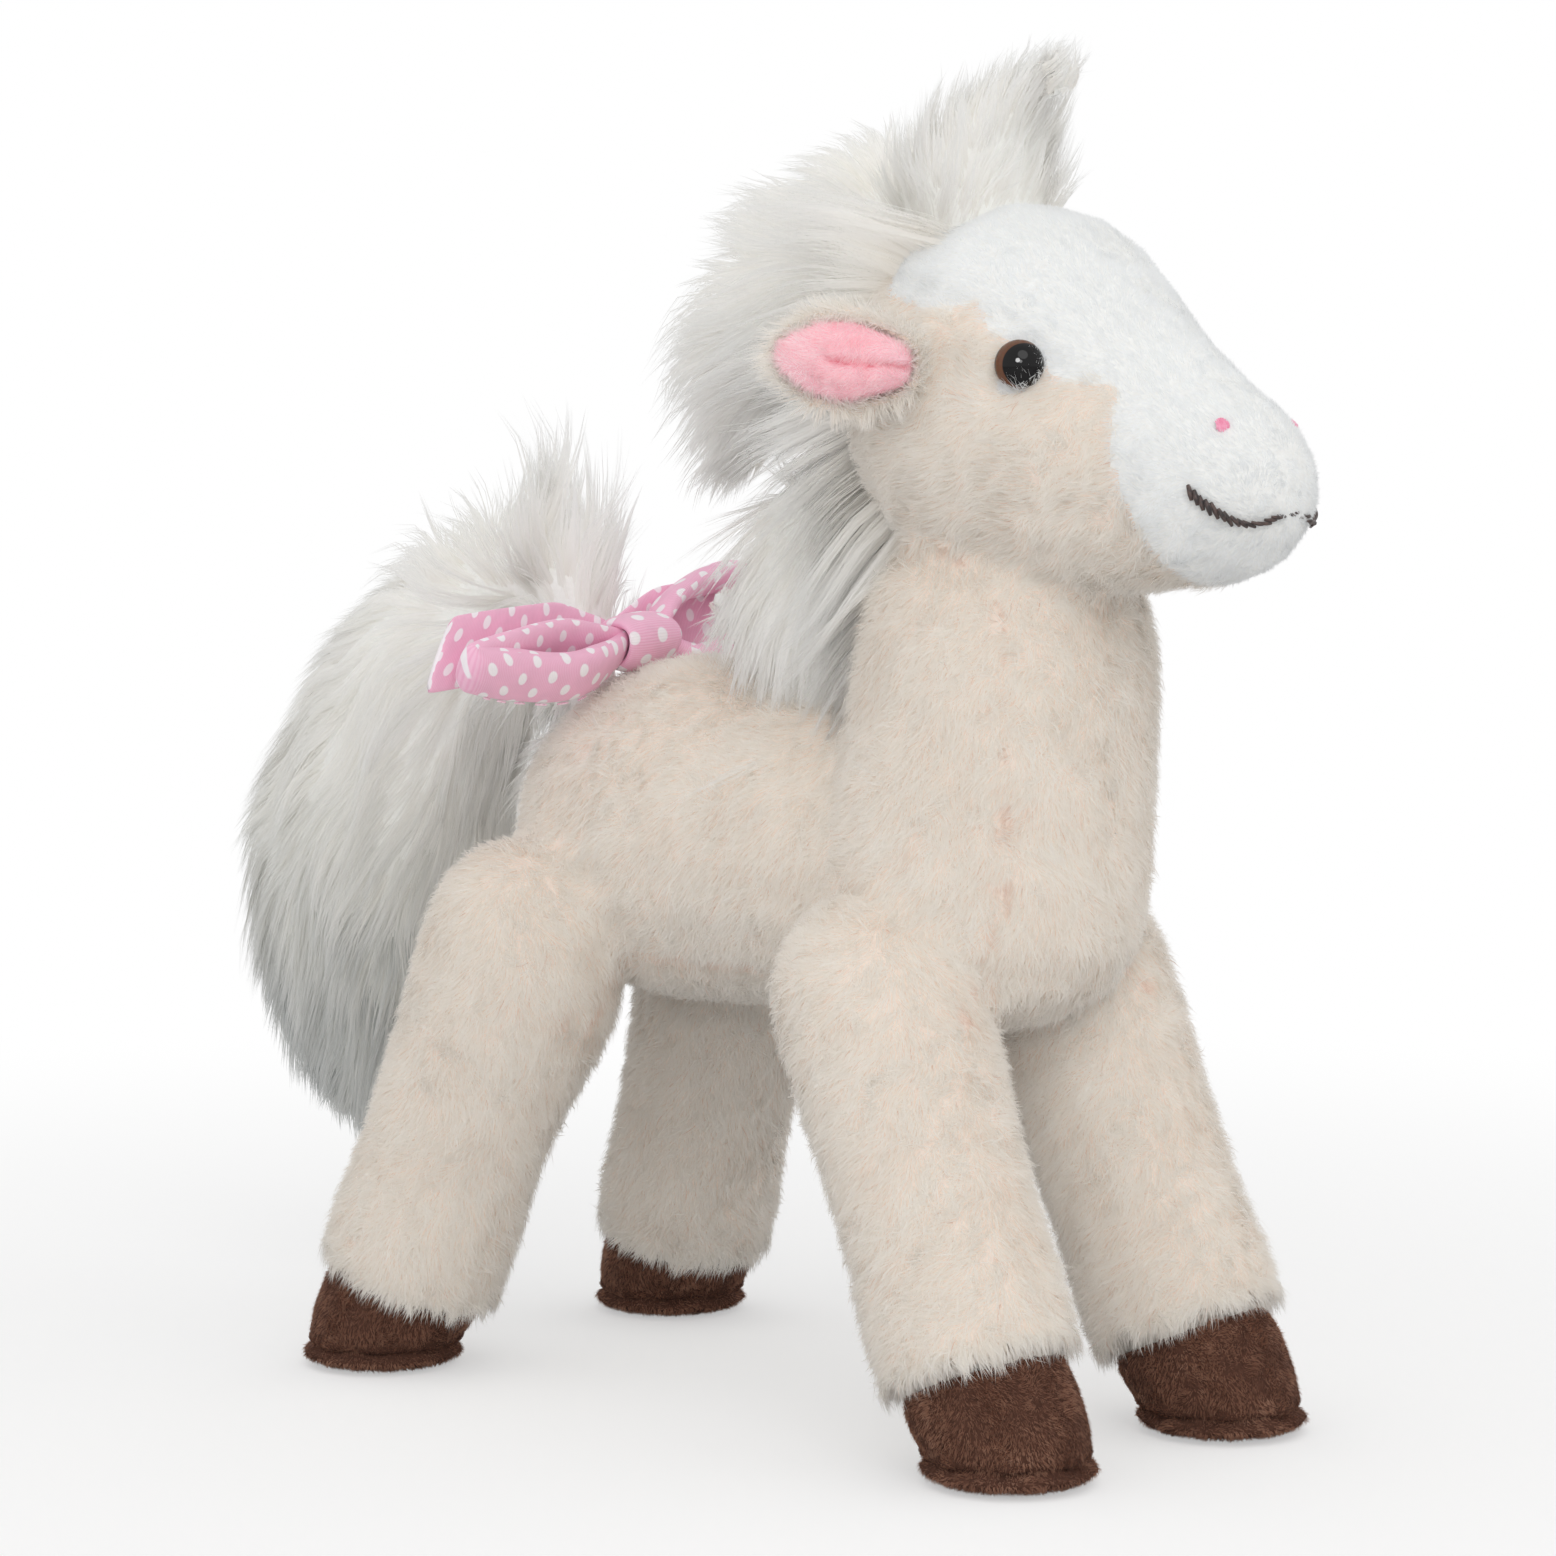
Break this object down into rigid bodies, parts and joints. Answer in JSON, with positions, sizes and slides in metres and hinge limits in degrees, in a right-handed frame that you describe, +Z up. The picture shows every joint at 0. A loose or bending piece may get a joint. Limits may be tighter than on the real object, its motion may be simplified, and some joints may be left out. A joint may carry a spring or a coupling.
{
  "type": "plush horse",
  "caption": "Standing stuffed toy horse with short cream pile, long white mane and tail, brown hooves and a ribbon bow on its rump.",
  "frame": {"origin": "floor under the middle of the bounding box", "axes": "+Z up, the horse faces -Y, its left side is +X"},
  "size_m": [0.1224, 0.303, 0.2738],
  "materials": {
    "cream_plush": "short cream plush, matt, pile lying down",
    "white_plush": "very short white plush, matt",
    "white_long_pile": "long white shaggy pile",
    "hoof_plush": "very short brown plush, speckled sheen",
    "ear_plush": "short pink plush",
    "ribbon": "woven pink ribbon with white dots",
    "eye_plastic": "clear-domed black and brown, polished",
    "washer_plastic": "plain moulded",
    "pink_thread": "satin-stitched thread",
    "brown_thread": "embroidered thread",
    "polyester_filling": "loose white fibre"
  },
  "bodies": {
    "trunk": {"side_panel_right": "cream_plush", "side_panel_left": "cream_plush", "chest_panel": "cream_plush", "trunk_filling": "polyester_filling", "neck_mane": "white_long_pile", "bow_knot": "ribbon", "bow_loop_right": "ribbon", "bow_loop_left": "ribbon", "bow_end_right": "ribbon", "bow_end_left": "ribbon"},
    "head": {"face_panel": "white_plush", "cheek_right": "cream_plush", "cheek_left": "cream_plush", "head_filling": "polyester_filling", "eye_right": "eye_plastic", "eye_left": "eye_plastic", "eye_washer_right": "washer_plastic", "eye_washer_left": "washer_plastic", "nostril_right": "pink_thread", "nostril_left": "pink_thread", "mouth_stitch": "brown_thread", "forelock": "white_long_pile", "crown_mane": "white_long_pile"},
    "front_leg_right": {"front_leg_right_cover": "cream_plush", "front_leg_right_filling": "polyester_filling", "front_hoof_right_band": "hoof_plush", "front_hoof_right_sole": "hoof_plush"},
    "front_leg_left": {"front_leg_left_cover": "cream_plush", "front_leg_left_filling": "polyester_filling", "front_hoof_left_band": "hoof_plush", "front_hoof_left_sole": "hoof_plush"},
    "rear_leg_right": {"rear_leg_right_cover": "cream_plush", "rear_leg_right_filling": "polyester_filling", "rear_hoof_right_band": "hoof_plush", "rear_hoof_right_sole": "hoof_plush"},
    "rear_leg_left": {"rear_leg_left_cover": "cream_plush", "rear_leg_left_filling": "polyester_filling", "rear_hoof_left_band": "hoof_plush", "rear_hoof_left_sole": "hoof_plush"},
    "ear_right": {"ear_back_right": "cream_plush", "ear_lining_right": "ear_plush"},
    "ear_left": {"ear_back_left": "cream_plush", "ear_lining_left": "ear_plush"},
    "tail": {"tail": "white_long_pile"}
  },
  "joints": [
    {"name": "head_nod", "type": "hinge", "parent": "trunk", "child": "head", "pos_m": [0, -0.07632, 0.158], "axis": [1, 0, 0], "range_deg": [-8, 8], "stiffness_Nm_per_rad": 0.6},
    {"name": "front_leg_right_swing", "type": "hinge", "parent": "trunk", "child": "front_leg_right", "pos_m": [-0.028, -0.06932, 0.089], "axis": [1, 0, 0], "range_deg": [-12, 12], "stiffness_Nm_per_rad": 1.5},
    {"name": "front_leg_left_swing", "type": "hinge", "parent": "trunk", "child": "front_leg_left", "pos_m": [0.028, -0.06932, 0.089], "axis": [1, 0, 0], "range_deg": [-12, 12], "stiffness_Nm_per_rad": 1.5},
    {"name": "rear_leg_right_swing", "type": "hinge", "parent": "trunk", "child": "rear_leg_right", "pos_m": [-0.032, 0.02868, 0.094], "axis": [1, 0, 0], "range_deg": [-12, 12], "stiffness_Nm_per_rad": 1.5},
    {"name": "rear_leg_left_swing", "type": "hinge", "parent": "trunk", "child": "rear_leg_left", "pos_m": [0.032, 0.02868, 0.094], "axis": [1, 0, 0], "range_deg": [-12, 12], "stiffness_Nm_per_rad": 1.5},
    {"name": "ear_right_fold", "type": "hinge", "parent": "head", "child": "ear_right", "pos_m": [-0.03562, -0.0889, 0.21062], "axis": [0, 0, 1], "range_deg": [-8, 30], "stiffness_Nm_per_rad": 0.02},
    {"name": "ear_left_fold", "type": "hinge", "parent": "head", "child": "ear_left", "pos_m": [0.03562, -0.0889, 0.21062], "axis": [0, 0, -1], "range_deg": [-8, 30], "stiffness_Nm_per_rad": 0.02},
    {"name": "tail_swing", "type": "hinge", "parent": "trunk", "child": "tail", "pos_m": [0, 0.04368, 0.142], "axis": [0, 0, 1], "range_deg": [-20, 20], "stiffness_Nm_per_rad": 0.1}
  ]
}
